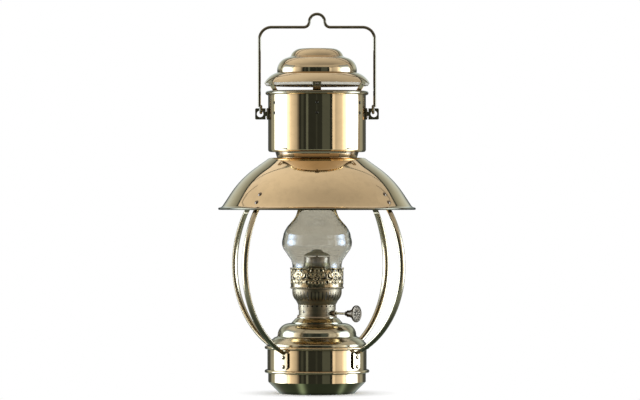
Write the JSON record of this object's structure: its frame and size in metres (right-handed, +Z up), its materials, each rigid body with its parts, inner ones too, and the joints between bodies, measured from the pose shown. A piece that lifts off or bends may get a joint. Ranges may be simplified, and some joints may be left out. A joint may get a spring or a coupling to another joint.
{
  "type": "trawler lamp",
  "caption": "Hanging oil lamp: round brass tank in a banded holder, curved arms to a wide shade, vented chimney with a cap, glass, burner with wick knob, and a wire bail.",
  "frame": {"origin": "middle of the holder's flat underside, where the lamp stands", "axes": "+Z up through the tank, burner, glass and bail; +X towards the right ear; -Y is the front"},
  "size_m": [0.257, 0.257, 0.4946],
  "materials": {
    "polished_brass": "polished, a little tarnished",
    "brass_wire": "drawn wire, dulled",
    "burner_brass": "stamped sheet, darkened by heat",
    "cork": "cork washer",
    "cotton": "woven wick",
    "lamp_glass": "clear, faintly smoky"
  },
  "bodies": {
    "frame": {"holder_band": "polished_brass", "holder_pan": "polished_brass", "arm_front_left": "polished_brass", "arm_front_right": "polished_brass", "arm_back_right": "polished_brass", "arm_back_left": "polished_brass", "foot_rivets": "polished_brass", "shade": "polished_brass", "shade_rivets": "polished_brass", "neck_ring": "polished_brass", "vent_drum": "polished_brass", "cap_struts": "polished_brass", "strut_rivets": "polished_brass", "vent_cap": "polished_brass", "cap_rivets": "polished_brass", "left_ear": "polished_brass", "right_ear": "polished_brass", "ear_rivets": "polished_brass"},
    "bail": {"bail": "brass_wire"},
    "tank": {"tank_bowl": "polished_brass", "tank_cover": "polished_brass", "tank_collar": "polished_brass"},
    "burner_seal": {"burner_washer": "cork"},
    "burner": {"burner_foot": "burner_brass", "spindle_bush": "burner_brass", "outer_tube": "burner_brass", "air_tube": "burner_brass", "rod_bridges": "burner_brass", "burner_basket": "burner_brass", "burner_cone": "burner_brass", "gallery": "burner_brass"},
    "wick_knob": {"spindle": "burner_brass", "pinion": "burner_brass", "knob": "burner_brass"},
    "wick": {"wick": "cotton", "wick_carrier": "burner_brass"},
    "flame_spreader": {"flame_disc": "burner_brass", "disc_rod": "burner_brass"},
    "glass": {"glass_chimney": "lamp_glass"}
  },
  "joints": [
    {"name": "bail_swing", "type": "hinge", "parent": "frame", "child": "bail", "pos_m": [0, 0, 0.36855], "axis": [1, 0, 0], "range_deg": [-128, 128]},
    {"name": "tank_lift", "type": "slide", "parent": "frame", "child": "tank", "axis": [0, 0, 1], "range_m": [0, 0.062]},
    {"name": "burner_turn", "type": "hinge", "parent": "tank", "child": "burner_seal", "pos_m": [0, 0, 0.0988], "axis": [0, 0, 1], "range_deg": [0, 1080]},
    {"name": "burner_rise", "type": "slide", "parent": "burner_seal", "child": "burner", "axis": [0, 0, 1], "range_m": [0, 0.00601]},
    {"name": "knob_turn", "type": "hinge", "parent": "burner", "child": "wick_knob", "pos_m": [0, 0, 0.104], "axis": [0.829, -0.5592, 0], "range_deg": [-48, 130]},
    {"name": "wick_slide", "type": "slide", "parent": "burner", "child": "wick", "axis": [0, 0, 1], "range_m": [-0.008, 0.003]},
    {"name": "spreader_lift", "type": "slide", "parent": "burner", "child": "flame_spreader", "axis": [0, 0, 1], "range_m": [0, 0.04]},
    {"name": "glass_lift", "type": "slide", "parent": "burner", "child": "glass", "axis": [0, 0, 1], "range_m": [0, 0.024]}
  ],
  "couplings": [
    {"joint": "burner_rise", "follows": "burner_turn", "m_per_rad": 0.00031831},
    {"joint": "wick_slide", "follows": "knob_turn", "m_per_rad": -0.0035}
  ]
}
